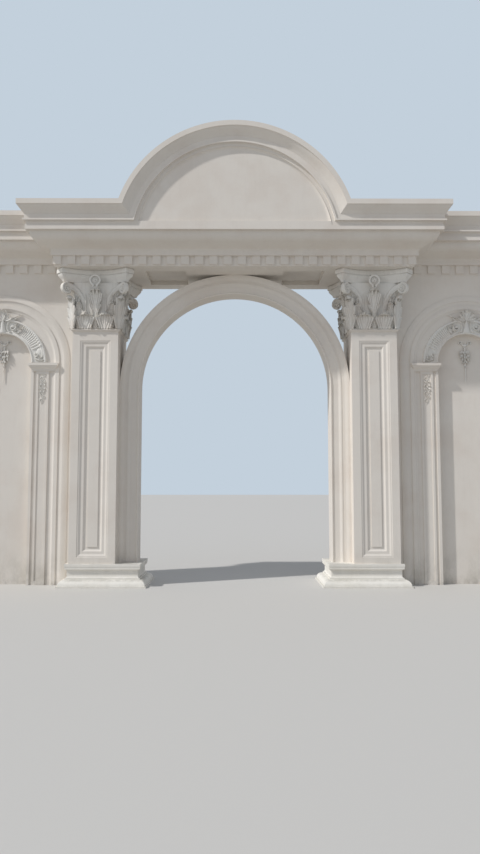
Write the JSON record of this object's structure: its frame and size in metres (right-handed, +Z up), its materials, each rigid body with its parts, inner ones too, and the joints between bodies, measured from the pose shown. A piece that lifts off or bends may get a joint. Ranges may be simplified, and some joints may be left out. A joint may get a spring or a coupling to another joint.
{
  "type": "triumphal arch",
  "caption": "White classical gate with a round arch on panelled piers, a dentil entablature, a round pediment and a blind arch bay on each side.",
  "frame": {"origin": "on the ground, in the middle of the passage and halfway between its front and its back", "axes": "+X along the gate to the right as seen from the front, -Y out of the front, +Z up"},
  "size_m": [8.724, 1.984, 6.2858],
  "materials": {
    "lime_render": "limewashed render, matte",
    "carved_work": "limewashed carved work, matte",
    "plinth_render": "limewashed render stained by damp and splashes"
  },
  "bodies": {
    "root": {"base_left": "plinth_render", "base_right": "plinth_render", "pier_left": "lime_render", "pier_right": "lime_render", "astragal_left": "lime_render", "astragal_right": "lime_render", "capital_left": "carved_work", "capital_right": "carved_work", "capital_carving_left": "carved_work", "capital_carving_right": "carved_work", "abacus_left": "carved_work", "abacus_right": "carved_work", "jamb_left": "lime_render", "jamb_right": "lime_render", "arch_ring_left": "lime_render", "arch_ring_right": "lime_render", "dentil_beam": "lime_render", "bed_moulding": "lime_render", "corona": "lime_render", "cymatium_left": "lime_render", "cymatium_right": "lime_render", "pediment_arch": "lime_render", "tympanum": "lime_render", "wall_left": "lime_render", "wall_right": "lime_render", "blind_arch_left": "lime_render", "blind_arch_right": "lime_render", "niche_pilasters_left": "lime_render", "niche_pilasters_right": "lime_render", "imposts_left": "lime_render", "imposts_right": "lime_render", "niche_arch_left": "carved_work", "niche_arch_right": "carved_work", "keystones_left": "carved_work", "keystones_right": "carved_work", "drops_left": "carved_work", "drops_right": "carved_work", "wall_dentil_beam_left": "lime_render", "wall_dentil_beam_right": "lime_render", "wall_bed_moulding_left": "lime_render", "wall_bed_moulding_right": "lime_render", "wall_corona_left": "lime_render", "wall_corona_right": "lime_render", "wall_cymatium_left": "lime_render", "wall_cymatium_right": "lime_render"}
  },
  "joints": []
}
